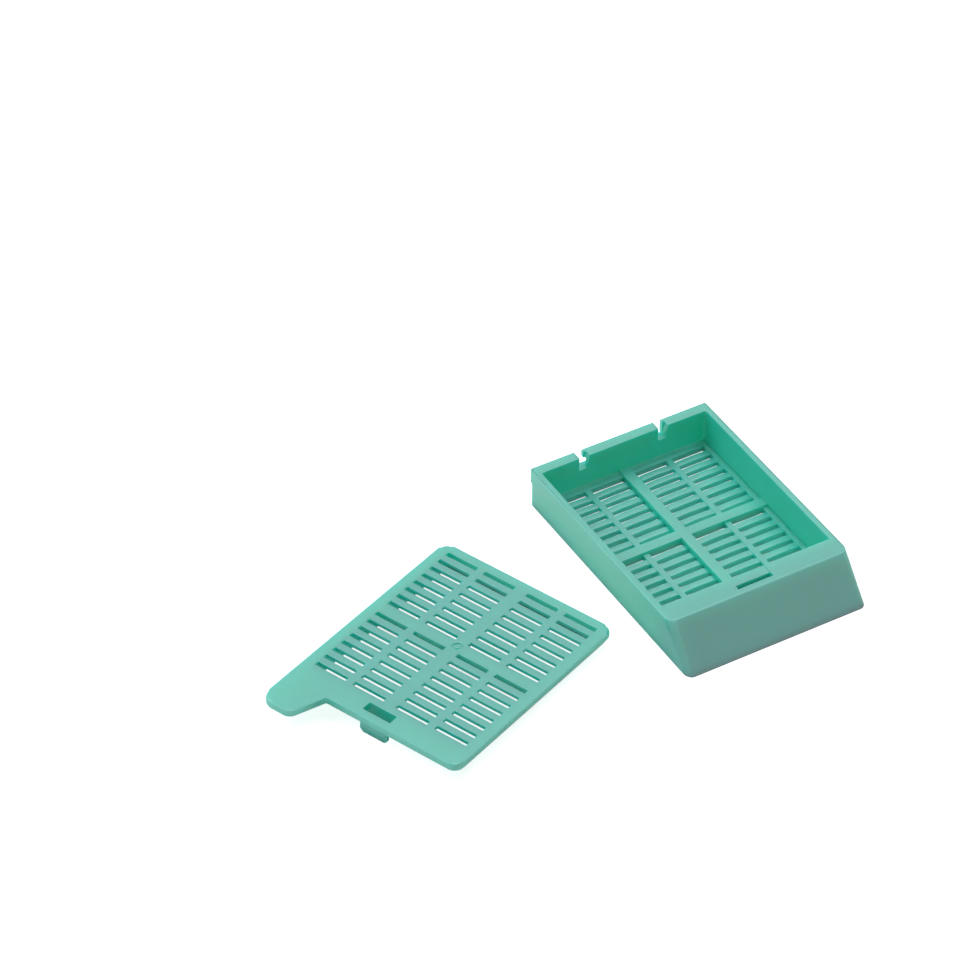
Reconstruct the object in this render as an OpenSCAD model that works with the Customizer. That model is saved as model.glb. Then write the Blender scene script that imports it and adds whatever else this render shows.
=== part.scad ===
// Tissue cassette: a slotted base tray with a slanted, hollow writing face, and its
// separate clip-on lid lying beside it. Each is one injection moulding.
// The base stands on z = 0 with its footprint centred on the origin. +Y points to the
// notched hinge wall and -Y to the foot of the writing face.

/* [Base] */
// Width over the side walls
base_w = 28.6; // [24:0.1:35]
// Length of the footprint, from the hinge wall to the foot of the writing face
base_l = 40.6; // [33:0.1:50]
// Height of the rim
base_h = 6.2; // [5.1:0.1:7.6]
// Thickness of the side walls at the rim
side_wall = 1.0; // [0.7:0.05:1.4]
// Thickness of the hinge wall at the rim
back_wall = 1.0; // [0.7:0.05:1.4]
// Thickness of the upright wall between the tray and the hollow of the writing face
front_wall = 1.0; // [0.7:0.05:1.4]
// How far the inner faces lean in from the rim to the floor
wall_draft = 0.13; // [0:0.01:0.2]
// Depth of the flat ledge in front of the tray
ledge_d = 3.3; // [2.8:0.1:4.2]
// Thickness of the ledge
ledge_t = 1.1; // [0.8:0.05:1.4]
// Horizontal run of the slanted writing face
writing_run = 5.2; // [4:0.1:7]
// Thickness of the writing face, measured level
writing_t = 1.3; // [0.9:0.05:1.7]
// Radius along the slanted side edges of the writing face
writing_r = 1.3; // [0.6:0.05:1.8]
// Radius of the upright corners of the hinge wall
back_r = 0.5; // [0.2:0.05:0.9]
// Radius along the outer edge of the side rims
rim_r = 0.3; // [0.1:0.05:0.5]

/* [Hinge wall] */
// How far the top flange stands out behind the hinge wall
flange_d = 0.65; // [0.3:0.05:1]
// Height of the top flange
flange_h = 2.1; // [1.5:0.05:2.6]
// Rise of the sloping underside of the flange
flange_slope = 0.2; // [0:0.05:0.4]
// Distance of each hook notch from the centre line
notch_x = 6.4; // [4:0.1:9]
// Width of a hook notch at the rim
notch_top_w = 1.6; // [1.3:0.05:2.2]
// Width of a hook notch at its bottom
notch_foot_w = 1.15; // [1:0.05:1.3]
// Depth of a hook notch below the rim
notch_h = 2.15; // [2:0.05:2.8]
// How far the flange lip reaches over a notch
lip_reach = 0.45; // [0.2:0.05:0.6]
// Height of the lip over the left notch
lip_h = 1.1; // [0.8:0.05:1.4]
// Width of the undercut behind the left notch, below its lip
undercut_w = 1.0; // [0.6:0.05:1.4]

/* [Base grille] */
// Top of the floor's margins
floor_top = 1.05; // [0.9:0.05:1.2]
// Top of the middle rib and the crossbar
rib_top = 1.42; // [1.25:0.01:1.8]
// Top of the slats where they end
slat_end = 0.93; // [0.8:0.01:1]
// Rise of the crowned slats at mid-span
slat_crown = 0.1; // [0.04:0.01:0.15]
// Top of the thin bars that part the slats
divider_top = 1.0; // [0.9:0.05:1.1]
// Drop of the slats' ends at the middle rib
slat_dip = 0.25; // [0.1:0.05:0.3]
// Length of the slats over which they drop to the middle rib
slat_dip_l = 0.5; // [0.3:0.05:1]
// Depth of the recess under the grille, at the end near the writing face
recess_near = 0.05; // [0.05:0.05:0.3]
// Depth of the recess under the grille, at the hinge wall
recess_far = 0.2; // [0.1:0.05:0.5]
// How far the recess runs on past the slots
recess_past = 0.3; // [0.1:0.05:0.4]
// Width of the middle rib
rib_w = 1.6; // [1.2:0.1:2.4]
// Width of the crossbar
crossbar_w = 1.62; // [1.2:0.02:2.4]
// Offset of the crossbar from the middle of the tray, towards the writing face
crossbar_shift = 0.1; // [0:0.05:0.6]
// Width of the thin bars that part the slats
divider_w = 0.85; // [0.6:0.05:1.2]
// Plain margin along each side wall
side_margin = 0.8; // [0.5:0.05:1.2]
// Least margin at the ends of the tray
end_margin = 0.6; // [0.5:0.05:1]
// Width of the first and the last slots of each block
end_slot_w = 0.88; // [0.6:0.02:1]
// Width of the other slots in the base
slot_w = 0.75; // [0.5:0.01:0.9]
// Spacing of the slots in the base
slot_pitch = 1.795; // [1.6:0.005:2.2]

/* [Lid] */
// How far the lid's sides stay inside the base's sides
lid_side_reveal = 0.1; // [0:0.05:0.3]
// How far the lid laps over the hinge wall
lid_back_lap = 0.25; // [0.1:0.05:0.5]
// How far the lid's near edge stays behind the edge of the ledge
lid_front_reveal = 0.5; // [0.3:0.05:0.7]
// Thickness of the lid at its edges
lid_t = 1.1; // [0.9:0.05:1.4]
// Thickness of the slotted web of the lid
web_t = 0.4; // [0.3:0.05:0.6]
// Radius of the lid's corners
lid_r = 1.4; // [0.8:0.1:2]
// Depth of the skirt that drops inside the tray
skirt_depth = 1.65; // [1:0.05:1.8]
// Gap between the skirt and the tray walls
skirt_gap = 0.15; // [0.1:0.05:0.3]
// Width of the low rib under the lid's middle bar
lid_rib_w = 0.8; // [0.6:0.05:1.2]
// Width of the stiffening rib under the lid's crossbar
lid_cross_rib_w = 1.4; // [0.8:0.05:1.8]

/* [Lid grille] */
// Margin between the lid's sides and its slots
lid_side_margin = 1.65; // [1.5:0.05:2]
// Margin between the lid's far edge and its first slot
lid_far_margin = 1.46; // [1.3:0.02:1.8]
// Width of the lid's middle bar
lid_mid_bar = 2.05; // [1.6:0.05:2.6]
// Width of the bars that part the outer and inner slots
lid_divider = 1.22; // [0.9:0.02:1.6]
// Width of the lid's crossbar between its two blocks of slots
lid_crossbar = 2.07; // [1.8:0.01:2.6]
// Width of a slot in the lid
lid_slot_w = 0.66; // [0.5:0.02:0.8]
// Spacing of the slots in the lid
lid_slot_pitch = 1.8; // [1.6:0.02:2]
// Radius of the gate dimple in the middle of the lid
dimple_r = 0.85; // [0.5:0.05:1]
// Depth of the gate dimple
dimple_depth = 0.16; // [0.05:0.01:0.2]

/* [Thumb tab] */
// How far the thumb tab stands out from the lid's near edge
tab_l = 5.25; // [4:0.05:6]
// Width of the thumb tab at its root
tab_root_w = 6.9; // [6:0.1:9]
// Width of the thumb tab at its end
tab_end_w = 4.9; // [4.4:0.1:5.8]
// Radius of the tab's outer corner
tab_outer_r = 1.9; // [1:0.1:2]
// Radius of the tab's inner corner
tab_inner_r = 1.5; // [1:0.1:2]

/* [Latch and hooks] */
// Width of the latch tongue
latch_w = 4.5; // [3:0.1:7]
// Thickness of the latch tongue
latch_t = 0.5; // [0.4:0.05:0.6]
// Reach of the barb at the tip of the tongue
latch_barb = 0.2; // [0.1:0.05:0.3]
// How far the tongue's tip reaches below the ledge's top
latch_drop = 2.35; // [2.1:0.05:2.6]
// Corner bevel at the tip of the tongue
latch_bevel = 0.7; // [0.4:0.05:1]
// Gap between the tongue and the slit, front and back
latch_gap = 0.05; // [0.03:0.01:0.1]
// Gap between the tongue and the slit at each end
latch_end_gap = 0.5; // [0.2:0.05:0.8]
// Distance of the slit's middle from the front edge of the ledge
slit_setback = 1.35; // [1.2:0.05:1.6]
// Depth of the shallow run-in between the tray and the slit
slit_lead = 0.12; // [0.05:0.01:0.2]
// Depth of the window behind the latch, along the lid
window_d = 1.5; // [1:0.05:1.6]
// Bar between the window and the tongue
window_bar = 0.12; // [0.05:0.01:0.2]
// Width of a hinge hook
hook_w = 0.9; // [0.6:0.05:0.95]
// Height of a hinge hook
hook_h = 0.85; // [0.6:0.05:0.95]
// How far a hinge hook stands out from the lid's far edge
hook_reach = 0.6; // [0.4:0.05:0.7]

/* [Lid lying beside the base] */
// Place of the lid's middle, left of the base's middle
lid_place_x = -39.1; // [-55:0.1:-38]
// Place of the lid's middle along the base
lid_place_y = -2.1; // [-10:0.1:10]
// Turn of the lid about the vertical
lid_turn = -67.7; // [-75:0.1:-60]

/* [Hidden] */
round_fn = 64;
// Overshoot of every cutting shape past the faces it opens
over = 1;

back_y = base_l / 2;
tray_back_y = back_y - back_wall;
ledge_front_y = -base_l / 2 + writing_run;
tray_front_y = ledge_front_y + ledge_d;
tray_l = tray_back_y - tray_front_y;
tray_half_w = base_w / 2 - side_wall;
floor_half_w = tray_half_w - wall_draft;
flange_back_y = back_y + flange_d;

// Floor grille: two blocks of rows, counted away from the crossbar on each side
crossbar_y = tray_back_y - tray_l / 2 - crossbar_shift;
slat_w = slot_pitch - slot_w;
back_block_l = tray_back_y - wall_draft - crossbar_y - crossbar_w / 2;
front_block_l = crossbar_y - crossbar_w / 2 - tray_front_y;
row_room = end_margin + 2 * end_slot_w + slat_w;
back_rows = floor((back_block_l - row_room) / slot_pitch) + 2;
front_rows = floor((front_block_l - row_room) / slot_pitch) + 2;
back_grille_l = 2 * end_slot_w + slat_w + (back_rows - 2) * slot_pitch;
front_grille_l = 2 * end_slot_w + slat_w + (front_rows - 2) * slot_pitch;
slot_l = (floor_half_w - side_margin - rib_w / 2 - divider_w) / 2;
inner_slot_x = rib_w / 2;
outer_slot_x = inner_slot_x + slot_l + divider_w;
grille_half_w = outer_slot_x + slot_l;
crown_r = (pow(slot_l / 2, 2) + pow(slat_crown, 2)) / (2 * slat_crown);

// Latch slit through the ledge
slit_w = latch_w + 2 * latch_end_gap;
slit_d = latch_t + latch_barb + 2 * latch_gap;
slit_y = ledge_front_y + slit_setback;

// Lid, in its own frame: far edge towards +Y, top face at z = 0, origin in mid-crossbar
lid_w = base_w - 2 * lid_side_reveal;
lid_l = lid_back_lap + tray_l + ledge_d - lid_front_reveal;
lid_skirt_z = lid_t + skirt_depth;
near_skirt_v = lid_back_lap + tray_l - skirt_gap;
far_skirt_v = lid_back_lap + skirt_gap;
skirt_half_w = tray_half_w - skirt_gap;
skirt_t = skirt_half_w - (lid_w / 2 - lid_side_margin);
lid_slat_w = lid_slot_pitch - lid_slot_w;
lid_slot_l = (lid_w - 2 * lid_side_margin - lid_mid_bar - 2 * lid_divider) / 4;
lid_grille_l = near_skirt_v - skirt_t - lid_far_margin;
lid_rows = floor(((lid_grille_l - lid_crossbar) / 2 + lid_slat_w) / lid_slot_pitch);
lid_block_l = lid_rows * lid_slot_pitch - lid_slat_w;
lid_far_y = lid_far_margin + lid_block_l + lid_crossbar / 2;
lid_near_y = lid_far_y - lid_l;
tongue_y = lid_near_y + (slit_setback - lid_front_reveal) + latch_barb / 2;
tongue_z = lid_t + latch_drop;
window_y = tongue_y + latch_t / 2 + window_bar;
hook_tip_y = lid_far_y + hook_reach;

// The lid lies on the tip of its tongue and on its hooks
tongue_heel_y = tongue_y + latch_t / 2;
lid_tilt = atan((tongue_z - lid_skirt_z) / (hook_tip_y - tongue_heel_y));
lid_place_z = tongue_heel_y * sin(lid_tilt) + tongue_z * cos(lid_tilt);

function unit(v) = v / norm(v);

// A convex outline, points counter-clockwise, with an exact arc of its own at each corner
module rounded_outline(points, radii) {
    last = len(points) - 1;
    corners = [for (i = [0:last])
        let (p = points[i],
             a = unit(points[i == 0 ? last : i - 1] - p),
             b = unit(points[i == last ? 0 : i + 1] - p),
             half = acos(a * b) / 2)
        [p + a * radii[i] / tan(half), p + b * radii[i] / tan(half),
         p + unit(a + b) * radii[i] / sin(half), radii[i]]];
    polygon([for (c = corners) each (c[3] > 0 ? [c[0], c[1]] : [c[0]])]);
    for (c = corners)
        if (c[3] > 0)
            translate(c[2]) circle(r = c[3], $fn = round_fn);
}

// An outline drawn in Y and Z, run across the part
module across(width) {
    rotate([90, 0, 90]) translate([0, 0, -width / 2]) linear_extrude(width) children();
}

// An outline drawn in X and Z, run from y = from to y = to
module along(from, to) {
    translate([0, to, 0]) rotate([90, 0, 0]) linear_extrude(to - from) children();
}

// A box from one corner to the opposite one
module block(low, high) {
    translate(low) cube(high - low);
}

// Side profile with the writing slope in front and the flange behind
module base_profile() {
    polygon([
        [-back_y, 0], [back_y, 0],
        [back_y, base_h - flange_h - flange_slope],
        [flange_back_y, base_h - flange_h],
        [flange_back_y, base_h], [ledge_front_y, base_h]
    ]);
}

// Outer form: side profile, rounded rims, rounded slanted edges and rounded back corners
module base_outer() {
    slope_angle = atan(base_h / writing_run);
    reach = base_l + flange_d + base_h;
    intersection() {
        across(base_w) base_profile();
        along(-base_l, base_l)
            rounded_outline(
                [[-base_w / 2, 0], [base_w / 2, 0], [base_w / 2, base_h], [-base_w / 2, base_h]],
                [0, 0, rim_r, rim_r]);
        translate([0, -back_y, 0]) rotate([slope_angle - 90, 0, 0])
            translate([0, 0, -reach]) linear_extrude(2 * reach)
                rounded_outline(
                    [[-base_w / 2, 0], [base_w / 2, 0],
                     [base_w / 2, 2 * reach], [-base_w / 2, 2 * reach]],
                    [writing_r, writing_r, 0, 0]);
        translate([0, 0, -over]) linear_extrude(base_h + 2 * over)
            rounded_outline(
                [[-base_w / 2, -base_l], [base_w / 2, -base_l],
                 [base_w / 2, flange_back_y], [-base_w / 2, flange_back_y]],
                [0, 0, back_r, back_r]);
    }
}

// Tray cavity above the floor, its walls leaning in towards the floor, with the middle rib
// and the crossbar standing proud of the floor
module tray_cavity() {
    lean = wall_draft / (base_h - floor_top);
    rise = base_h + over - floor_top;
    difference() {
        intersection() {
            along(tray_front_y, tray_back_y + over)
                polygon([[-floor_half_w, floor_top], [floor_half_w, floor_top],
                         [floor_half_w + lean * rise, floor_top + rise],
                         [-floor_half_w - lean * rise, floor_top + rise]]);
            across(base_w)
                polygon([[tray_front_y, floor_top], [tray_back_y - wall_draft, floor_top],
                         [tray_back_y - wall_draft + lean * rise, floor_top + rise],
                         [tray_front_y, floor_top + rise]]);
        }
        block([-rib_w / 2, tray_front_y - over, floor_top - over],
              [rib_w / 2, tray_back_y + over, rib_top]);
        block([-base_w / 2, crossbar_y - crossbar_w / 2, floor_top - over],
              [base_w / 2, crossbar_y + crossbar_w / 2, rib_top]);
    }
}

// Hollow behind the writing face, open below
module writing_hollow() {
    slope = writing_run / base_h;
    roof = base_h - ledge_t;
    across(2 * tray_half_w)
        polygon([[-back_y + writing_t - slope * over, -over],
                 [tray_front_y - front_wall, -over],
                 [tray_front_y - front_wall, roof],
                 [-back_y + writing_t + slope * roof, roof]]);
}

// The room to be cleared over the slats and the thin bar of one half of one block
module slat_room(from, to) {
    difference() {
        block([inner_slot_x, from, slat_end], [grille_half_w, to, floor_top + over]);
        block([inner_slot_x + slot_l, from - over, 0], [outer_slot_x, to + over, divider_top]);
        for (x = [inner_slot_x, outer_slot_x])
            intersection() {
                block([x, from - over, 0], [x + slot_l, to + over, floor_top]);
                translate([x + slot_l / 2, from - over, slat_end + slat_crown - crown_r])
                    rotate([-90, 0, 0])
                        cylinder(r = crown_r, h = to - from + 2 * over, $fn = 4 * round_fn);
            }
    }
    along(from, to)
        polygon([[inner_slot_x, slat_end - slat_dip],
                 [inner_slot_x + slat_dip_l, slat_end + slat_crown],
                 [inner_slot_x + slat_dip_l, floor_top + over],
                 [inner_slot_x, floor_top + over]]);
}

// One block of the grille, drawn away from the crossbar's middle: slats lowered, slots cut
module grille_block(rows, grille_l) {
    first_y = crossbar_w / 2;
    last_y = first_y + grille_l;
    second_y = first_y + end_slot_w + slat_w;
    for (side = [0, 1]) mirror([side, 0, 0]) {
        slat_room(first_y, last_y);
        for (x = [inner_slot_x, outer_slot_x]) {
            for (y = [first_y, last_y - end_slot_w])
                translate([x, y, -over]) cube([slot_l, end_slot_w, floor_top + 2 * over]);
            for (row = [0:rows - 3])
                translate([x, second_y + row * slot_pitch, -over])
                    cube([slot_l, slot_w, floor_top + 2 * over]);
        }
    }
}

// Shallow recess under the grille on both sides of the middle rib, deepening towards the
// hinge wall
module grille_recess() {
    near_y = crossbar_y - crossbar_w / 2 - front_grille_l - recess_past;
    far_y = crossbar_y + crossbar_w / 2 + back_grille_l + recess_past;
    for (side = [-1, 1])
        translate([side * (inner_slot_x + grille_half_w) / 2, 0, 0])
            across(grille_half_w - inner_slot_x)
                polygon([[near_y, -over], [far_y, -over],
                         [far_y, recess_far], [near_y, recess_near]]);
}

// Hook notch through the hinge wall, upright on its left and sloping on its right
module hook_notch(lip) {
    left = -notch_top_w / 2;
    foot_z = base_h - notch_h;
    lean = (notch_top_w - notch_foot_w) / notch_h;
    difference() {
        along(tray_back_y - 2 * wall_draft - 0.1, flange_back_y + over)
            polygon([[left, foot_z], [left + notch_foot_w, foot_z],
                     [-left + lean * over, base_h + over], [left, base_h + over]]);
        block([-left - lip_reach, back_y, base_h - lip],
              [notch_top_w, flange_back_y + 2 * over, base_h + 2 * over]);
    }
}

module cassette_base() {
    color("mediumaquamarine")
    difference() {
        base_outer();
        tray_cavity();
        writing_hollow();
        translate([0, crossbar_y, 0]) {
            grille_block(back_rows, back_grille_l);
            mirror([0, 1, 0]) grille_block(front_rows, front_grille_l);
        }
        grille_recess();
        translate([-notch_x, 0, 0]) hook_notch(lip_h);
        translate([notch_x, 0, 0]) hook_notch(notch_h + over);
        block([-notch_x + notch_foot_w - notch_top_w / 2, back_y - 0.3, base_h - notch_h],
              [-notch_x + notch_foot_w - notch_top_w / 2 + undercut_w,
               flange_back_y + over, base_h - lip_h]);
        block([-slit_w / 2, slit_y - slit_d / 2, base_h - ledge_t - over],
              [slit_w / 2, slit_y + slit_d / 2, base_h + over]);
        block([-slit_w / 2, slit_y, base_h - slit_lead],
              [slit_w / 2, tray_front_y + over, base_h + over]);
    }
}

// Outline of the plate with the thumb tab at its near left corner
module lid_outline() {
    left = -lid_w / 2;
    rounded_outline(
        [[left, lid_near_y], [-left, lid_near_y], [-left, lid_far_y], [left, lid_far_y]],
        [0, lid_r, lid_r, lid_r]);
    rounded_outline(
        [[left, lid_near_y - tab_l], [left + tab_end_w, lid_near_y - tab_l],
         [left + tab_root_w, lid_near_y], [left + tab_root_w, lid_near_y + over],
         [left, lid_near_y + over]],
        [tab_outer_r, tab_inner_r, 0, 0, 0]);
}

// Underside pockets that leave the thin slotted web, the skirt, a deep rib under the
// crossbar and a low rib under the middle bar
module lid_pockets() {
    half_w = lid_w / 2 - lid_side_margin;
    for (ends = [[lid_cross_rib_w / 2, lid_far_y - lid_far_margin],
                 [lid_far_y - near_skirt_v + skirt_t, -lid_cross_rib_w / 2]]) {
        block([-half_w, ends[0], -lid_skirt_z - over], [half_w, ends[1], -lid_t]);
        for (side = [0, 1]) mirror([side, 0, 0])
            block([lid_rib_w / 2, ends[0], -lid_t - over], [half_w, ends[1], -web_t]);
    }
}

// All the slots of the lid, two blocks of four columns
module lid_slots() {
    inner_x = lid_mid_bar / 2;
    outer_x = inner_x + lid_slot_l + lid_divider;
    for (side = [0, 1], block_side = [0, 1])
        mirror([side, 0, 0]) mirror([0, block_side, 0])
            for (row = [0:lid_rows - 1], x = [inner_x, outer_x])
                translate([x, lid_crossbar / 2 + row * lid_slot_pitch, -lid_t - over])
                    cube([lid_slot_l, lid_slot_w, lid_t + 2 * over]);
}

// Tongue with bevelled corners and a barb on its front
module latch() {
    half_w = latch_w / 2;
    catch_z = -(lid_t + ledge_t + 0.1);
    tip_z = -tongue_z;
    intersection() {
        along(tongue_y - latch_t / 2 - latch_barb, tongue_y + latch_t / 2)
            polygon([[-half_w + latch_bevel, tip_z], [half_w - latch_bevel, tip_z],
                     [half_w, tip_z + latch_bevel], [half_w, -lid_t / 2],
                     [-half_w, -lid_t / 2], [-half_w, tip_z + latch_bevel]]);
        across(latch_w)
            polygon([[tongue_y + latch_t / 2, tip_z], [tongue_y + latch_t / 2, -lid_t / 2],
                     [tongue_y - latch_t / 2, -lid_t / 2], [tongue_y - latch_t / 2, catch_z],
                     [tongue_y - latch_t / 2 - latch_barb, catch_z - latch_barb],
                     [tongue_y - latch_t / 2, tip_z]]);
    }
}

// Hook under the far edge that enters a notch of the hinge wall
module hinge_hook(x) {
    block([x - hook_w / 2, lid_far_y - far_skirt_v - 0.2, -lid_skirt_z],
          [x + hook_w / 2, hook_tip_y, -lid_skirt_z + hook_h]);
}

module lid_solid() {
    difference() {
        union() {
            translate([0, 0, -lid_t]) linear_extrude(lid_t) lid_outline();
            block([-skirt_half_w, lid_far_y - near_skirt_v, -lid_skirt_z],
                  [skirt_half_w, lid_far_y - far_skirt_v, -lid_t / 2]);
            latch();
            for (x = [-notch_x, notch_x])
                hinge_hook(x - (notch_top_w - notch_foot_w) / 2);
        }
        lid_pockets();
        lid_slots();
        block([-latch_w / 2, window_y, -lid_t - over],
              [latch_w / 2, window_y + window_d, over]);
        translate([0, 0, -dimple_depth]) cylinder(r = dimple_r, h = over, $fn = round_fn);
    }
}

module cassette_lid() {
    color("mediumaquamarine")
    translate([lid_place_x, lid_place_y, lid_place_z])
        rotate([-lid_tilt, 0, lid_turn])
            lid_solid();
}

cassette_base();
cassette_lid();
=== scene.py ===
# An open tissue cassette: the slotted base tray with its slanted writing face, and the
# clip-on lid taken off and laid beside it. Sizes are in millimetres until a mesh is made.
import math
import bmesh
import bpy
from mathutils import Matrix, Vector


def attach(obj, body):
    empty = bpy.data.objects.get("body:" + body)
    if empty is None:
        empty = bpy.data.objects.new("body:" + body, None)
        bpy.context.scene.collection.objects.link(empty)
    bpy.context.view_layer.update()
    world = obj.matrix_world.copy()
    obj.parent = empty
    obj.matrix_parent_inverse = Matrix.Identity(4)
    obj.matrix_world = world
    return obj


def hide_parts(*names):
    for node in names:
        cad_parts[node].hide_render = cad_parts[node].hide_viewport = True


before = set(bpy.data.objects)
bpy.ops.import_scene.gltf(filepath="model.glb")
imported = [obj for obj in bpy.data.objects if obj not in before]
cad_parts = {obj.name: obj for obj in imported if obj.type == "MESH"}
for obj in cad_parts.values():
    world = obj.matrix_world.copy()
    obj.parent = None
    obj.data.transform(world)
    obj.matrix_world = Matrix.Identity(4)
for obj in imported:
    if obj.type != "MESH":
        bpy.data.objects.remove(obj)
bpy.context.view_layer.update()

# ---------------------------------------------------------------------------
# The view. A long lens stands in front of the foot of the writing face, to the
# left, and looks down on both pieces.
scene = bpy.context.scene
MM = 0.001  # one millimetre, in metres
view_target = Vector((-17.76, 28.52, 0.0)) * MM
view_turn = math.radians(-30.15)
view_rise = math.radians(40.87)
view_roll = math.radians(-0.03)
view_distance = 600.12 * MM

back = Vector((math.sin(view_turn) * math.cos(view_rise),
               -math.cos(view_turn) * math.cos(view_rise), math.sin(view_rise)))
level = Vector((math.cos(view_turn), math.sin(view_turn), 0.0))
upright = back.cross(level)
right = level * math.cos(view_roll) + upright * math.sin(view_roll)
top = upright * math.cos(view_roll) - level * math.sin(view_roll)

lens = bpy.data.cameras.new("bench camera")
lens.sensor_width = 36.0
lens.lens = 161.642
lens.clip_start = 0.05
lens.clip_end = 10.0
camera = bpy.data.objects.new("bench camera", lens)
scene.collection.objects.link(camera)
turn = Matrix((right, top, back)).transposed().to_4x4()
camera.matrix_world = Matrix.Translation(view_target + back * view_distance) @ turn
scene.camera = camera


# ---------------------------------------------------------------------------
# The base tray, one injection moulding in mint green acetal: side walls, hinge wall
# with its flange and two hook notches, the ledge with the latch slit, and the slanted
# writing face, hollow behind. Outer edges are rounded as the tool steel leaves them.
BASE_W, BASE_H = 28.6, 6.2
BACK_Y, FLANGE_Y, FLANGE_Z, FLANGE_FOOT_Z = 20.3, 20.95, 4.1, 3.9
LEDGE_Y, TRAY_FRONT_Y = -15.1, -11.8
TRAY_HALF_W, FLOOR_HALF_W, FLOOR_Z = 13.3, 13.17, 1.05
LEDGE_T, WRITING_T, FRONT_WALL = 1.1, 1.3, 1.0
RIM_R, SLANT_R, CORNER_R, LEDGE_R = 0.2, 1.15, 0.5, 0.35
TOE_R, FOOT_R, FLANGE_LOW_R, FLANGE_TOP_R = 0.08, 0.15, 0.1, 0.2
SLIT_HALF_W, SLIT_NEAR_Y, SLIT_FAR_Y, RUN_IN_Y, RUN_IN_D = 2.75, -14.15, -13.35, -13.75, 0.12
NOTCH_X, NOTCH_TOP_W, NOTCH_FOOT_W, NOTCH_H, NOTCH_START_Y = 6.4, 1.6, 1.15, 2.15, 18.94
LIP_REACH, LIP_H, UNDERCUT_W, UNDERCUT_START_Y = 0.45, 1.1, 1.0, 20.0
PAST = 1.0  # how far a cutter runs out of the plastic


def keep_as_object(name, bm):
    """The finished mesh as an object at the origin, in metres, with its faces turned out."""
    bmesh.ops.recalc_face_normals(bm, faces=bm.faces)
    bmesh.ops.scale(bm, vec=(MM, MM, MM), verts=bm.verts)
    mesh = bpy.data.meshes.new(name)
    bm.to_mesh(mesh)
    bm.free()
    piece = bpy.data.objects.new(name, mesh)
    scene.collection.objects.link(piece)
    return piece


def loft(levels, place):
    """A closed solid through (outline, height) levels; place turns u, v, height to x, y, z."""
    bm = bmesh.new()
    rings = [[bm.verts.new(place(u, v, height)) for u, v in outline] for outline, height in levels]
    count = len(rings[0])
    for low, high in zip(rings, rings[1:]):
        for i in range(count):
            j = (i + 1) % count
            bm.faces.new((low[i], low[j], high[j], high[i]))
    bm.faces.new(rings[-1])
    bm.faces.new(tuple(reversed(rings[0])))
    return bm


def upright_prism(outline, low, high):
    return loft([(outline, low), (outline, high)], lambda u, v, w: (u, v, w))


def across_prism(outline, low, high):
    return loft([(outline, low), (outline, high)], lambda u, v, w: (w, u, v))


def along_prism(outline, low, high):
    return loft([(outline, low), (outline, high)], lambda u, v, w: (u, w, v))


def box(low, high):
    return upright_prism([(low[0], low[1]), (high[0], low[1]), (high[0], high[1]),
                          (low[0], high[1])], low[2], high[2])


def round_corners(points, radii, steps=8):
    """An outline with an arc in each corner, inner corners too."""
    outline = []
    for i, (point, radius) in enumerate(zip(points, radii)):
        here = Vector(point)
        before = (Vector(points[i - 1]) - here).normalized()
        after = (Vector(points[(i + 1) % len(points)]) - here).normalized()
        if radius == 0:
            outline.append(tuple(here))
            continue
        half = math.acos(before.dot(after)) / 2
        centre = here + (before + after).normalized() * radius / math.sin(half)
        start = here + before * radius / math.tan(half) - centre
        end = here + after * radius / math.tan(half) - centre
        sweep = math.atan2(start.x * end.y - start.y * end.x, start.dot(end))
        for k in range(steps + 1):
            a = sweep * k / steps
            outline.append((centre.x + start.x * math.cos(a) - start.y * math.sin(a),
                            centre.y + start.x * math.sin(a) + start.y * math.cos(a)))
    return outline


def on_side(side, near, far):
    """The low and the high x of what runs from near to far on one side of the middle."""
    return sorted((side * near, side * far))


def settle(piece):
    """Turns the piece's modifiers into plain mesh."""
    seen = piece.evaluated_get(bpy.context.evaluated_depsgraph_get())
    mesh = bpy.data.meshes.new_from_object(seen)
    mesh.name = piece.name
    piece.modifiers.clear()
    piece.data = mesh
    return piece


def carve(piece, *tools, how="DIFFERENCE"):
    """Cuts each tool out of the piece, or joins it on, and clears the tools away."""
    for tool in tools:
        step = piece.modifiers.new("carve", "BOOLEAN")
        step.operation = how
        step.solver = "MANIFOLD"
        step.object = tool
    settle(piece)
    for tool in tools:
        bpy.data.objects.remove(tool)
    return piece


def soften(piece, width, segments=2, angle=35):
    """Rounds the outer edges that are sharper than the angle."""
    bm = bmesh.new()
    bm.from_mesh(piece.data)
    bmesh.ops.remove_doubles(bm, verts=bm.verts, dist=0.002 * MM)
    bmesh.ops.dissolve_limit(bm, angle_limit=math.radians(0.5), verts=bm.verts, edges=bm.edges,
                             delimit={"MATERIAL"})
    bmesh.ops.connect_verts_concave(bm, faces=bm.faces[:])
    weight = bm.edges.layers.float.get("bevel_weight_edge") or bm.edges.layers.float.new(
        "bevel_weight_edge")
    for edge in bm.edges:
        sharp = len(edge.link_faces) == 2 and edge.calc_face_angle_signed(0.0) > math.radians(angle)
        edge[weight] = 1.0 if sharp else 0.0
    bm.to_mesh(piece.data)
    bm.free()
    step = piece.modifiers.new("soften", "BEVEL")
    step.width = width * MM
    step.segments = segments
    step.limit_method = "WEIGHT"
    step.use_clamp_overlap = False
    step.loop_slide = False
    return settle(piece)


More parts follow.
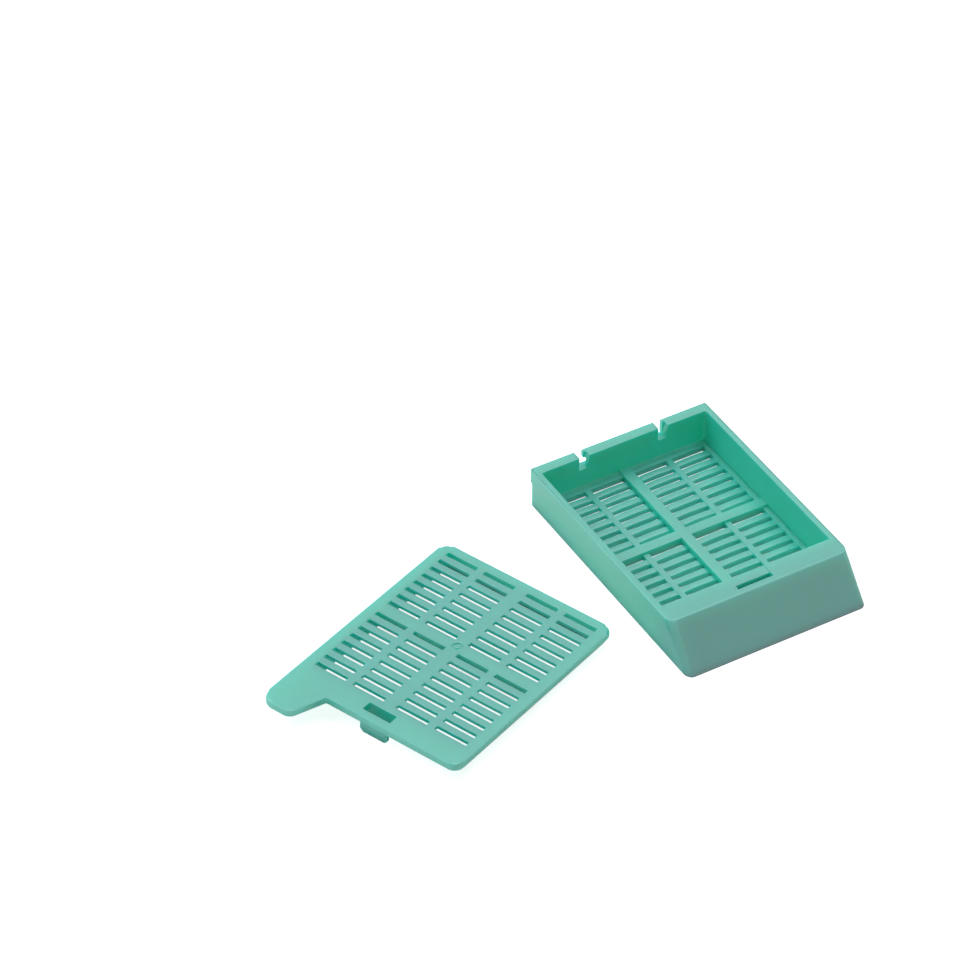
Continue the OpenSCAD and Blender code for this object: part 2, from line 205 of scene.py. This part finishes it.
# The outer form is what the side view, the end view, the view along the slope and the
# plan have in common, each drawn with its own rounded corners.
side_view = across_prism(round_corners(
    [(-BACK_Y, 0), (BACK_Y, 0), (BACK_Y, FLANGE_FOOT_Z), (FLANGE_Y, FLANGE_Z),
     (FLANGE_Y, BASE_H), (LEDGE_Y, BASE_H)],
    [TOE_R, FOOT_R, 0, FLANGE_LOW_R, FLANGE_TOP_R, LEDGE_R], steps=5), -BASE_W / 2, BASE_W / 2)
base = keep_as_object("base_tray", side_view)
end_view = keep_as_object("end view", along_prism(round_corners(
    [(-BASE_W / 2, 0), (BASE_W / 2, 0), (BASE_W / 2, BASE_H), (-BASE_W / 2, BASE_H)],
    [FOOT_R, FOOT_R, RIM_R, RIM_R], steps=5), -BACK_Y - PAST, FLANGE_Y + PAST))
plan = keep_as_object("plan", upright_prism(round_corners(
    [(-BASE_W / 2, -BACK_Y - PAST), (BASE_W / 2, -BACK_Y - PAST), (BASE_W / 2, FLANGE_Y),
     (-BASE_W / 2, FLANGE_Y)], [0, 0, CORNER_R, CORNER_R], steps=7), -PAST, BASE_H + PAST))
beyond = 60.0
slope_view = keep_as_object("slope view", upright_prism(round_corners(
    [(-BASE_W / 2, 0), (BASE_W / 2, 0), (BASE_W / 2, beyond), (-BASE_W / 2, beyond)],
    [SLANT_R, SLANT_R, 0, 0], steps=12), -beyond, beyond))
lean_back = math.atan2(BASE_H, LEDGE_Y + BACK_Y) - math.pi / 2
slope_view.data.transform(Matrix.Translation((0, -BACK_Y * MM, 0))
                          @ Matrix.Rotation(lean_back, 4, "X"))
carve(base, end_view, plan, slope_view, how="INTERSECT")

# The tray's walls lean in towards the floor, and the hinge wall meets it in a tight round.
# The middle rib and the crossbar stand proud of the floor.
CROSSBAR_Y, CROSSBAR_W, RIB_W, RIB_Z = 3.65, 1.62, 1.6, 1.42
HINGE_FOOT_Y, HINGE_ROUND, HINGE_TOP_Y, TRAY_CORNER_R = 19.18, 0.05, 19.33, 0.25
lean = (TRAY_HALF_W - FLOOR_HALF_W) / (BASE_H - FLOOR_Z)
levels = []
for height, far_y in ((0.0, HINGE_FOOT_Y), (HINGE_ROUND, HINGE_FOOT_Y + HINGE_ROUND),
                      (BASE_H + PAST - FLOOR_Z, HINGE_TOP_Y)):
    half = FLOOR_HALF_W + lean * height
    levels.append((round_corners(
        [(-half, TRAY_FRONT_Y), (half, TRAY_FRONT_Y), (half, far_y), (-half, far_y)],
        [TRAY_CORNER_R] * 4, steps=4), FLOOR_Z + height))
cavity = keep_as_object("cavity", loft(levels, lambda u, v, w: (u, v, w)))
carve(cavity,
      keep_as_object("rib", box((-RIB_W / 2, -BACK_Y, 0), (RIB_W / 2, BACK_Y, RIB_Z))),
      keep_as_object("crossbar", box((-BASE_W, CROSSBAR_Y - CROSSBAR_W / 2, 0),
                                     (BASE_W, CROSSBAR_Y + CROSSBAR_W / 2, RIB_Z))))
slope = (LEDGE_Y + BACK_Y) / BASE_H
roof = BASE_H - LEDGE_T
hollow = keep_as_object("hollow", across_prism(
    [(-BACK_Y + WRITING_T - slope * PAST, -PAST), (TRAY_FRONT_Y - FRONT_WALL, -PAST),
     (TRAY_FRONT_Y - FRONT_WALL, roof), (-BACK_Y + WRITING_T + slope * roof, roof)],
    -TRAY_HALF_W, TRAY_HALF_W))
slit = keep_as_object("slit", box((-SLIT_HALF_W, SLIT_NEAR_Y, roof - PAST),
                                  (SLIT_HALF_W, SLIT_FAR_Y, BASE_H + PAST)))
run_in = keep_as_object("run-in", box((-SLIT_HALF_W, RUN_IN_Y, BASE_H - RUN_IN_D),
                                      (SLIT_HALF_W, TRAY_FRONT_Y + PAST, BASE_H + PAST)))
carve(base, cavity, hollow, slit, run_in)

# Both notches keep a lip in the flange, the left one's over an undercut and the right one's
# down to the notch's foot.
notch_z = BASE_H - NOTCH_H
notch_left = -NOTCH_TOP_W / 2
notch_lean = (NOTCH_TOP_W - NOTCH_FOOT_W) / NOTCH_H
for middle, lip_z in ((-NOTCH_X, BASE_H - LIP_H), (NOTCH_X, notch_z - PAST)):
    notch = keep_as_object("notch", along_prism(
        [(middle + notch_left, notch_z), (middle + notch_left + NOTCH_FOOT_W, notch_z),
         (middle - notch_left + notch_lean * PAST, BASE_H + PAST),
         (middle + notch_left, BASE_H + PAST)], NOTCH_START_Y, FLANGE_Y + PAST))
    lip = keep_as_object("lip", box(
        (middle - notch_left - LIP_REACH, BACK_Y, lip_z),
        (middle + NOTCH_TOP_W, FLANGE_Y + 2 * PAST, BASE_H + 2 * PAST)))
    carve(notch, lip)
    carve(base, notch)
undercut_x = -NOTCH_X + notch_left + NOTCH_FOOT_W
carve(base, keep_as_object("undercut", box(
    (undercut_x, UNDERCUT_START_Y, notch_z),
    (undercut_x + UNDERCUT_W, FLANGE_Y + PAST, BASE_H - LIP_H))))

# The slatted floor is part of the same moulding: in each of its four windows stand two
# columns of slightly crowned slats with a thin bar between them. The underside is recessed,
# by more under the far windows; the recess is a line of y, depth points.
END_SLOT_W, SLOT_W, SLOT_PITCH, ROWS = 0.88, 0.75, 1.795, 8
SLAT_L, SLAT_FOOT_Z, SLAT_END_Z, SLAT_R = 5.36, 0.05, 0.93, 0.1
SLAT_CROWN, SLAT_DIP, SLAT_DIP_L, SLAT_ROOT = 0.1, 0.3, 0.6, 0.1
SLAT_STATIONS, SLAT_ROUND_STEPS = 41, 3
BAR_W, BAR_Z = 0.85, 1.0
RECESS = [(-11.035, 0.05), (5.3, 0.04), (10.0, 0.19), (17.0, 0.25), (18.335, 0.14)]
GROOVE_NEAR_Y, GROOVE_FAR_Y, GROOVE_D = -11.3, 18.6, 0.13
GROOVE_IN_WALL, GROOVE_UP_WALL = 0.005, 0.2
BASE_EDGE_R = 0.09

bank_l = 2 * END_SLOT_W + (ROWS - 1) * SLOT_PITCH - SLOT_W
bank_w = 2 * SLAT_L + BAR_W
windows, grooves = [], []
for side in (-1, 1):
    for half in (-1, 1):
        x = side * (RIB_W / 2 + bank_w / 2)
        y = CROSSBAR_Y + half * (CROSSBAR_W / 2 + bank_l / 2)
        windows.append(keep_as_object("window", box(
            (x - bank_w / 2, y - bank_l / 2, -PAST),
            (x + bank_w / 2, y + bank_l / 2, RIB_Z + PAST))))
    # A fine relief groove where the floor meets the side wall, on both sides of the crossbar
    for low_y, high_y in ((GROOVE_NEAR_Y, CROSSBAR_Y - CROSSBAR_W / 2),
                          (CROSSBAR_Y + CROSSBAR_W / 2, GROOVE_FAR_Y)):
        low_x, high_x = on_side(side, FLOOR_HALF_W - GROOVE_D, FLOOR_HALF_W + GROOVE_IN_WALL)
        grooves.append(keep_as_object("groove", box(
            (low_x, low_y, FLOOR_Z - GROOVE_D), (high_x, high_y, FLOOR_Z + GROOVE_UP_WALL))))
carve(base, *windows)
soften(base, BASE_EDGE_R)
# The rounding may push a corner a hair past the foot or the rim
for corner in base.data.vertices:
    corner.co.z = min(max(corner.co.z, 0.0), BASE_H * MM)
carve(base, *grooves)


class Flow:
    """A value on its way through a node tree. Sums and products add Math nodes."""

    def __init__(self, socket):
        self.socket = socket
        self.tree = socket.id_data

    def _math(self, operation, *values):
        node = add_node(self.tree, "ShaderNodeMath", {"operation": operation},
                        dict(enumerate(values)))
        return Flow(node.outputs[0])

    def __add__(self, other):
        return self._math("ADD", self, other)

    def __sub__(self, other):
        return self._math("SUBTRACT", self, other)

    def __rsub__(self, other):
        return self._math("SUBTRACT", other, self)

    def __mul__(self, other):
        return self._math("MULTIPLY", self, other)

    def __truediv__(self, other):
        return self._math("DIVIDE", self, other)

    def __gt__(self, other):
        return self._math("GREATER_THAN", self, other)

    def __abs__(self):
        return self._math("ABSOLUTE", self)

    def at_least(self, other):
        return self._math("MAXIMUM", self, other)

    __radd__ = __add__
    __rmul__ = __mul__


def add_node(tree, kind, settings=None, sockets=None):
    """A node with its settings made first, then its sockets' values or links."""
    node = tree.nodes.new(kind)
    for key, value in (settings or {}).items():
        setattr(node, key, value)
    for key, value in (sockets or {}).items():
        if isinstance(value, Flow):
            value = value.socket
        if isinstance(value, bpy.types.NodeSocket):
            tree.links.new(value, node.inputs[key])
        else:
            node.inputs[key].default_value = value
    return node


def new_tree(name, inputs):
    """A Geometry Nodes tree with named inputs, and its sockets by name."""
    tree = bpy.data.node_groups.new(name, "GeometryNodeTree")
    tree.is_modifier = True
    tree.interface.new_socket("Geometry", in_out="INPUT", socket_type="NodeSocketGeometry")
    for label, kind in inputs.items():
        tree.interface.new_socket(label, in_out="INPUT", socket_type="NodeSocket" + kind)
    tree.interface.new_socket("Geometry", in_out="OUTPUT", socket_type="NodeSocketGeometry")
    entry = tree.nodes.new("NodeGroupInput")
    return tree, {label: Flow(entry.outputs[label]) for label in ["Geometry", *inputs]}


def grow(piece, tree, values):
    """Runs a tree on the piece with these inputs and keeps the result as plain mesh."""
    step = piece.modifiers.new(tree.name, "NODES")
    step.node_group = tree
    for item in tree.interface.items_tree:
        if item.in_out == "INPUT" and item.name in values:
            step[item.identifier] = values[item.name]
    return settle(piece)


def vector(tree, x=0.0, y=0.0, z=0.0):
    return add_node(tree, "ShaderNodeCombineXYZ", sockets={0: x, 1: y, 2: z}).outputs[0]


def on_points(tree, width, length, columns, rows, instance):
    """The instance repeated on a level grid of points round the origin."""
    points = add_node(tree, "GeometryNodeMeshGrid", sockets={
        "Size X": width, "Size Y": length, "Vertices X": columns, "Vertices Y": rows})
    return add_node(tree, "GeometryNodeInstanceOnPoints", sockets={
        "Points": points.outputs["Mesh"], "Instance": instance}).outputs["Instances"]


def real(tree, geometry):
    return add_node(tree, "GeometryNodeRealizeInstances", sockets={"Geometry": geometry}).outputs[0]


def moved(tree, geometry, place):
    return add_node(tree, "GeometryNodeTransform", sockets={
        "Geometry": real(tree, geometry), "Translation": place}).outputs["Geometry"]


def hand_over(tree, geometry, material):
    """The end of a tree: instances made real, with the piece's own finish."""
    coated = add_node(tree, "GeometryNodeSetMaterial", sockets={
        "Geometry": real(tree, geometry), "Material": material})
    add_node(tree, "NodeGroupOutput", sockets={"Geometry": coated.outputs[0]})


# One slat is a rounded section swept along a line and bent up towards mid-span. It is
# repeated down a column, the columns over four banks, and all dip towards the middle rib.
tree, given = new_tree("slatted floor", {
    "Rows": "Int", "Pitch": "Float", "Slat Length": "Float", "Slat Width": "Float",
    "Root": "Float", "Foot": "Float", "Slat End": "Float", "Crown": "Float",
    "Edge Radius": "Float", "Dip": "Float", "Dip Length": "Float", "Column Spacing": "Float",
    "Bank Spacing X": "Float", "Bank Spacing Y": "Float", "Bank Length": "Float",
    "Bar Width": "Float", "Bar Top": "Float", "Rib Width": "Float", "Crossbar Y": "Float",
    "Finish": "Material"})
section = add_node(tree, "GeometryNodeCurvePrimitiveQuadrilateral", sockets={
    "Width": given["Slat Width"], "Height": given["Slat End"] - given["Foot"]})
rounded = add_node(tree, "GeometryNodeFilletCurve", {"mode": "POLY"}, {
    "Curve": section.outputs[0], "Radius": given["Edge Radius"], "Count": SLAT_ROUND_STEPS})
reach = given["Slat Length"] / 2 + given["Root"]
run = add_node(tree, "GeometryNodeCurvePrimitiveLine", sockets={
    "Start": vector(tree, reach * -1), "End": vector(tree, reach)})
stations = add_node(tree, "GeometryNodeResampleCurve", sockets={
    "Curve": run.outputs[0], "Count": SLAT_STATIONS})
bar = add_node(tree, "GeometryNodeCurveToMesh", sockets={
    "Curve": stations.outputs[0], "Profile Curve": rounded.outputs[0], "Fill Caps": True})
place = add_node(tree, "ShaderNodeSeparateXYZ", sockets={
    0: add_node(tree, "GeometryNodeInputPosition").outputs[0]})
across, height = Flow(place.outputs[0]), Flow(place.outputs[2])
part_way = across / (given["Slat Length"] / 2)
arch = (1 - part_way * part_way) * given["Crown"] * (height > 0.0)
slat = add_node(tree, "GeometryNodeSetPosition", sockets={
    "Geometry": bar.outputs[0], "Offset": vector(tree, z=arch)})
slats_per_bank = given["Rows"] - 1
column = on_points(tree, given["Column Spacing"], given["Pitch"] * (slats_per_bank - 1), 2,
                   slats_per_bank, slat.outputs[0])
banks = on_points(tree, given["Bank Spacing X"], given["Bank Spacing Y"], 2, 2, column)
level_slats = moved(tree, banks, vector(tree, y=given["Crossbar Y"],
                                        z=(given["Slat End"] + given["Foot"]) / 2))
to_rib = (1 - (abs(across) - given["Rib Width"] / 2) / given["Dip Length"]).at_least(0.0)
dip = to_rib * to_rib * given["Dip"] * (height > given["Slat End"] / 2)
slats = add_node(tree, "GeometryNodeSetPosition", sockets={
    "Geometry": level_slats, "Offset": vector(tree, z=dip * -1)}).outputs[0]
thin_bar = add_node(tree, "GeometryNodeMeshCube", sockets={
    "Size": vector(tree, given["Bar Width"], given["Bank Length"] + 2 * given["Root"],
                   given["Bar Top"] - given["Foot"])})
bars = moved(tree, on_points(tree, given["Bank Spacing X"], given["Bank Spacing Y"], 2, 2,
                             thin_bar.outputs["Mesh"]),
             vector(tree, y=given["Crossbar Y"], z=(given["Bar Top"] + given["Foot"]) / 2))
union = add_node(tree, "GeometryNodeMeshBoolean", {"operation": "UNION", "solver": "MANIFOLD"})
for part in (given["Geometry"].socket, slats, bars):
    tree.links.new(part, union.inputs["Mesh 2"])
hand_over(tree, union.outputs["Mesh"], given["Finish"])


# The finish: two near mints, the mould's clouds and grain, how satin the skin is, and how
# far light soaks in. Depth and reach are in millimetres.
LIGHT_MINT, DEEP_MINT = (0.006, 0.70, 0.53, 1.0), (0.005, 0.68, 0.515, 1.0)
CLOUDS_PER_M, GRAINS_PER_M, GRAIN_DEPTH, GRAIN_STRENGTH = 140.0, 5200.0, 0.02, 0.12
SATIN, SATIN_CHANGE, GLOSS_IOR = 0.4, 0.06, 2.1
SOAK_BY_COLOUR, SOAK_REACH = (0.08, 1.0, 0.85), 4.0


def moulded_acetal(name):
    """Satin acetal as it leaves the mould: one even colour with the faintest flow clouds,
    and the fine spark-eroded grain of the tool."""
    finish = bpy.data.materials.new(name)
    finish.use_nodes = True
    nodes = finish.node_tree
    shader = nodes.nodes["Principled BSDF"]
    spot = add_node(nodes, "ShaderNodeTexCoord").outputs["Object"]
    clouds = Flow(add_node(nodes, "ShaderNodeTexNoise", sockets={
        "Vector": spot, "Scale": CLOUDS_PER_M, "Detail": 3.0, "Roughness": 0.5}).outputs[0])
    tool_grain = Flow(add_node(nodes, "ShaderNodeTexNoise", sockets={
        "Vector": spot, "Scale": GRAINS_PER_M, "Detail": 2.0, "Roughness": 0.6}).outputs[0])
    tint = add_node(nodes, "ShaderNodeMix", {"data_type": "RGBA"}, {
        0: clouds, 6: LIGHT_MINT, 7: DEEP_MINT})
    nodes.links.new(tint.outputs[2], shader.inputs["Base Color"])
    sheen = SATIN + SATIN_CHANGE * clouds + SATIN_CHANGE * tool_grain
    nodes.links.new(sheen.socket, shader.inputs["Roughness"])
    bump = add_node(nodes, "ShaderNodeBump", sockets={
        "Strength": GRAIN_STRENGTH, "Distance": GRAIN_DEPTH * MM, "Height": tool_grain})
    nodes.links.new(bump.outputs[0], shader.inputs["Normal"])
    shader.inputs["IOR"].default_value = GLOSS_IOR
    # Thin walls pass a little light, green more than red
    shader.inputs["Subsurface Weight"].default_value = 1.0
    shader.inputs["Subsurface Radius"].default_value = SOAK_BY_COLOUR
    shader.inputs["Subsurface Scale"].default_value = SOAK_REACH * MM
    return finish


base_finish = moulded_acetal("base acetal")
grow(base, tree, {
    "Rows": ROWS, "Pitch": SLOT_PITCH * MM, "Slat Length": SLAT_L * MM,
    "Slat Width": (SLOT_PITCH - SLOT_W) * MM, "Root": SLAT_ROOT * MM, "Foot": SLAT_FOOT_Z * MM,
    "Slat End": SLAT_END_Z * MM, "Crown": SLAT_CROWN * MM, "Edge Radius": SLAT_R * MM,
    "Dip": SLAT_DIP * MM, "Dip Length": SLAT_DIP_L * MM, "Column Spacing": (SLAT_L + BAR_W) * MM,
    "Bank Spacing X": (RIB_W + bank_w) * MM,
    "Bank Spacing Y": (CROSSBAR_W + bank_l) * MM, "Bank Length": bank_l * MM,
    "Bar Width": BAR_W * MM, "Bar Top": BAR_Z * MM, "Rib Width": RIB_W * MM,
    "Crossbar Y": CROSSBAR_Y * MM, "Finish": base_finish})
recess_outline = [(RECESS[0][0], -PAST), (RECESS[-1][0], -PAST)] + RECESS[::-1]
carve(base, *[keep_as_object("recess", across_prism(
    recess_outline, *on_side(side, RIB_W / 2, RIB_W / 2 + bank_w))) for side in (-1, 1)])


def smooth_rounds(piece, crease=38):
    """Shades the rounded edges smooth and keeps the flats flat and the creases sharp."""
    piece.data.shade_smooth()
    bpy.context.view_layer.objects.active = piece
    piece.data.set_sharp_from_angle(angle=math.radians(crease))
    step = piece.modifiers.new("flats", "WEIGHTED_NORMAL")
    step.keep_sharp = True
    step.weight = 80
    return settle(piece)


smooth_rounds(base)
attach(base, "root")
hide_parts("cassette_base")


# ---------------------------------------------------------------------------
# The lid, a second moulding of the same acetal: a plate with a thumb tab, a skirt and two
# ribs below it, a thin web punched with slots, and a latch tongue and two hooks. It is
# drawn with its top face at z = 0 and its far edge towards +y, then laid in its place.
LID_W, LID_FAR_Y, LID_NEAR_Y, LID_T, LID_R = 28.4, 15.755, -18.395, 1.1, 1.4
TAB_L, TAB_ROOT_W, TAB_END_W = 5.25, 6.9, 4.9
TAB_OUTER_R, TAB_INNER_R, TAB_ROOT_R = 1.9, 1.5, 0.35
LID_EDGE_R, LID_FOOT_R, WEB_T = 0.45, 0.12, 0.56
SKIRT_HALF_W, SKIRT_NEAR_Y, SKIRT_FAR_Y, SKIRT_Z = 13.15, -15.445, 15.355, -2.75
WEB_HALF_W, WEB_FAR_Y, WEB_NEAR_Y = 12.55, 14.295, -14.845
LID_RIB_W, LID_CROSS_RIB_W = 0.8, 1.4
LID_SLOT_L, LID_SLOT_W, LID_PITCH, LID_ROWS = 5.1525, 0.69, 1.8, 8
LID_MID_BAR, LID_DIVIDER, LID_CROSSBAR = 2.05, 1.22, 2.07
WINDOW_W, WINDOW_NEAR_Y, WINDOW_D = 4.5, -17.075, 1.5
TONGUE_W, TONGUE_T, TONGUE_Y, TONGUE_Z = 4.5, 0.5, -17.445, -3.45
TONGUE_BEVEL, TONGUE_EDGE_R, BARB, BARB_Z = 0.5, 0.06, 0.05, -2.3
HOOK_W, HOOK_H, HOOK_ROOT_Y, HOOK_TIP_Y, HOOK_XS = 0.9, 0.85, 15.155, 16.355, (-6.625, 6.175)
DIMPLE_R, DIMPLE_DEPTH, NUB_R, NUB_Z = 0.75, 0.16, 0.35, -0.02
PUNCH_D, SLOT_EDGE_R = 3.0, 0.04

left = -LID_W / 2
plate_outline = round_corners(
    [(left, LID_NEAR_Y - TAB_L), (left + TAB_END_W, LID_NEAR_Y - TAB_L),
     (left + TAB_ROOT_W, LID_NEAR_Y), (-left, LID_NEAR_Y), (-left, LID_FAR_Y), (left, LID_FAR_Y)],
    [TAB_OUTER_R, TAB_INNER_R, TAB_ROOT_R, LID_R, LID_R, LID_R])
bm = upright_prism(plate_outline, -LID_T, 0.0)
for height, radius, steps in ((0.0, LID_EDGE_R, 4), (-LID_T, LID_FOOT_R, 2)):
    rim = [e for e in bm.edges if all(abs(v.co.z - height) < 1e-6 for v in e.verts)]
    bmesh.ops.bevel(bm, geom=rim, offset=radius, segments=steps, profile=0.5,
                    affect="EDGES", clamp_overlap=False)
lid = keep_as_object("lid", bm)

skirt = keep_as_object("skirt", box((-SKIRT_HALF_W, SKIRT_NEAR_Y, SKIRT_Z),
                                    (SKIRT_HALF_W, SKIRT_FAR_Y, -LID_T / 2)))
tongue_front, tongue_heel = TONGUE_Y - TONGUE_T / 2, TONGUE_Y + TONGUE_T / 2
half_w = TONGUE_W / 2
tongue = keep_as_object("tongue", along_prism(
    [(-half_w + TONGUE_BEVEL, TONGUE_Z), (half_w - TONGUE_BEVEL, TONGUE_Z),
     (half_w, TONGUE_Z + TONGUE_BEVEL), (half_w, -LID_T / 2), (-half_w, -LID_T / 2),
     (-half_w, TONGUE_Z + TONGUE_BEVEL)], tongue_front - BARB, tongue_heel))
barb_view = keep_as_object("barb view", across_prism(
    [(tongue_heel, TONGUE_Z), (tongue_heel, -LID_T / 2), (tongue_front, -LID_T / 2),
     (tongue_front, BARB_Z), (tongue_front - BARB, BARB_Z - BARB), (tongue_front, TONGUE_Z)],
    -TONGUE_W, TONGUE_W))
carve(tongue, barb_view, how="INTERSECT")
soften(tongue, TONGUE_EDGE_R)
hooks = [keep_as_object("hook", box((x - HOOK_W / 2, HOOK_ROOT_Y, SKIRT_Z),
                                    (x + HOOK_W / 2, HOOK_TIP_Y, SKIRT_Z + HOOK_H)))
         for x in HOOK_XS]
carve(lid, skirt, *hooks, how="UNION")

# Below the plate the skirt's inside is cleared away, and the web is thinned on both sides
# of the middle rib. The dimple in the middle of the top face keeps a low nub.
pockets = []
for low_y, high_y in ((LID_CROSS_RIB_W / 2, WEB_FAR_Y), (WEB_NEAR_Y, -LID_CROSS_RIB_W / 2)):
    pockets.append(keep_as_object("pocket", box((-WEB_HALF_W, low_y, SKIRT_Z - PAST),
                                                (WEB_HALF_W, high_y, -LID_T))))
    for side in (-1, 1):
        low_x, high_x = on_side(side, LID_RIB_W / 2, WEB_HALF_W)
        pockets.append(keep_as_object("shallow pocket", box(
            (low_x, low_y, -LID_T - PAST), (high_x, high_y, -WEB_T))))
latch_window = keep_as_object("latch window", box(
    (-WINDOW_W / 2, WINDOW_NEAR_Y, -LID_T - PAST),
    (WINDOW_W / 2, WINDOW_NEAR_Y + WINDOW_D, PAST)))


def disc(radius, low, high, sides=40):
    turns = [k * math.tau / sides for k in range(sides)]
    return upright_prism([(radius * math.cos(a), radius * math.sin(a)) for a in turns], low, high)


dimple = keep_as_object("dimple", disc(DIMPLE_R, -DIMPLE_DEPTH, PAST))
carve(dimple, keep_as_object("nub", disc(NUB_R, -DIMPLE_DEPTH - PAST, NUB_Z)))
carve(lid, *pockets, latch_window, dimple)
carve(lid, tongue, how="UNION")

tree, given = new_tree("punched web", {
    "Rows": "Int", "Pitch": "Float", "Slot Length": "Float", "Slot Width": "Float",
    "Depth": "Float", "Column Spacing": "Float", "Bank Spacing X": "Float",
    "Bank Spacing Y": "Float", "Finish": "Material"})
punch = add_node(tree, "GeometryNodeMeshCube", sockets={
    "Size": vector(tree, given["Slot Length"], given["Slot Width"], given["Depth"])})
column = on_points(tree, given["Column Spacing"], given["Pitch"] * (given["Rows"] - 1), 2,
                   given["Rows"], punch.outputs["Mesh"])
banks = on_points(tree, given["Bank Spacing X"], given["Bank Spacing Y"], 2, 2, column)
punched = add_node(tree, "GeometryNodeMeshBoolean",
                   {"operation": "DIFFERENCE", "solver": "MANIFOLD"},
                   {"Mesh 1": given["Geometry"], "Mesh 2": real(tree, banks)})
hand_over(tree, punched.outputs["Mesh"], given["Finish"])

lid_finish = moulded_acetal("lid acetal")
lid_bank_l = (LID_ROWS - 1) * LID_PITCH + LID_SLOT_W
grow(lid, tree, {
    "Rows": LID_ROWS, "Pitch": LID_PITCH * MM, "Slot Length": LID_SLOT_L * MM,
    "Slot Width": LID_SLOT_W * MM, "Depth": PUNCH_D * MM,
    "Column Spacing": (LID_SLOT_L + LID_DIVIDER) * MM,
    "Bank Spacing X": (LID_MID_BAR + 2 * LID_SLOT_L + LID_DIVIDER) * MM,
    "Bank Spacing Y": (LID_CROSSBAR + lid_bank_l) * MM, "Finish": lid_finish})
soften(lid, SLOT_EDGE_R)
smooth_rounds(lid)

# It lies turned beside the tray and tips back a little, on its tongue and its two hooks.
LID_AT, LID_TURN, LID_TIP = (-39.1, -2.1, 3.09056), -67.7, -1.19527
lid_place = (Matrix.Translation(Vector(LID_AT) * MM)
             @ Matrix.Rotation(math.radians(LID_TURN), 4, "Z")
             @ Matrix.Rotation(math.radians(LID_TIP), 4, "X"))
lid.data.transform(lid_place)
lid.data.update()
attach(lid, "root")
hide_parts("cassette_lid")


# ---------------------------------------------------------------------------
# The bench and the light: a white sweep that looks white to the eye and greys only where
# the pieces keep the light off it, and whose glow seen off gloss is painted darker near the
# pieces as painted shade; one large soft box overhead and another behind to the left. The
# room around them is white to the eye and gives no light of its own.
BENCH_HALF_W, BENCH_T = 3000.0, 20.0
SWEEP_WHITE, SWEEP_GLOW, SHADE_REACH = (0.86, 0.86, 0.86, 1.0), 0.85, 5.0
PIECES_MIDDLE = Vector((-0.017, 0.0, 0.0))


def ray_kinds(nodes):
    """Two masks: rays from the eye, and all rays that see (also off gloss, through glass)."""
    rays = add_node(nodes, "ShaderNodeLightPath").outputs
    by_eye, by_gloss, by_glass = (
        Flow(rays[f"Is {kind} Ray"]) for kind in ("Camera", "Glossy", "Transmission"))
    return by_eye, by_eye.at_least(by_gloss).at_least(by_glass)


bench_finish = bpy.data.materials.new("white sweep")
bench_finish.use_nodes = True
nodes = bench_finish.node_tree
nodes.nodes.clear()
by_eye, seen = ray_kinds(nodes)
paper = add_node(nodes, "ShaderNodeBsdfDiffuse", sockets={"Color": SWEEP_WHITE})
# Painted shade: the glow seen off gloss and through glass is darkened by occlusion near the pieces,
# squared
open_sky = Flow(add_node(nodes, "ShaderNodeAmbientOcclusion", {"samples": 8}, {
    "Distance": SHADE_REACH * MM}).outputs["AO"])
glow = add_node(nodes, "ShaderNodeEmission", sockets={
    "Strength": SWEEP_GLOW * (by_eye + (1 - by_eye) * open_sky * open_sky)})
dark = add_node(nodes, "ShaderNodeEmission", sockets={"Strength": 0.0})
lift = add_node(nodes, "ShaderNodeMixShader", sockets={
    0: seen, 1: dark.outputs[0], 2: glow.outputs[0]})
both = add_node(nodes, "ShaderNodeAddShader", sockets={0: paper.outputs[0], 1: lift.outputs[0]})
add_node(nodes, "ShaderNodeOutputMaterial", sockets={"Surface": both.outputs[0]})
bench = keep_as_object("bench", box((-BENCH_HALF_W, -BENCH_HALF_W, -BENCH_T),
                                    (BENCH_HALF_W, BENCH_HALF_W, 0.0)))
bench.data.materials.append(bench_finish)

room = bpy.data.worlds.new("white room")
room.use_nodes = True
nodes = room.node_tree
nodes.nodes.clear()
white, dark = (add_node(nodes, "ShaderNodeBackground", sockets={
    "Color": (1.0, 1.0, 1.0, 1.0), "Strength": strength}) for strength in (1.0, 0.0))
_, seen = ray_kinds(nodes)
walls = add_node(nodes, "ShaderNodeMixShader", sockets={
    0: seen, 1: dark.outputs[0], 2: white.outputs[0]})
add_node(nodes, "ShaderNodeOutputWorld", sockets={"Surface": walls.outputs[0]})
scene.world = room


def soft_box(name, place, size, power):
    """A square area lamp aimed at the pieces."""
    lamp = bpy.data.lights.new(name, "AREA")
    lamp.shape = "SQUARE"
    lamp.size = size
    lamp.energy = power
    holder = bpy.data.objects.new(name, lamp)
    scene.collection.objects.link(holder)
    holder.location = place
    holder.rotation_euler = (PIECES_MIDDLE - place).to_track_quat("-Z", "Y").to_euler()


soft_box("top soft box", place=Vector((0.25, 0.08, 0.95)), size=0.8, power=4.1)
soft_box("left soft box", place=Vector((-0.55, 0.45, 0.65)), size=0.7, power=4.1)

scene.view_settings.view_transform = "Standard"
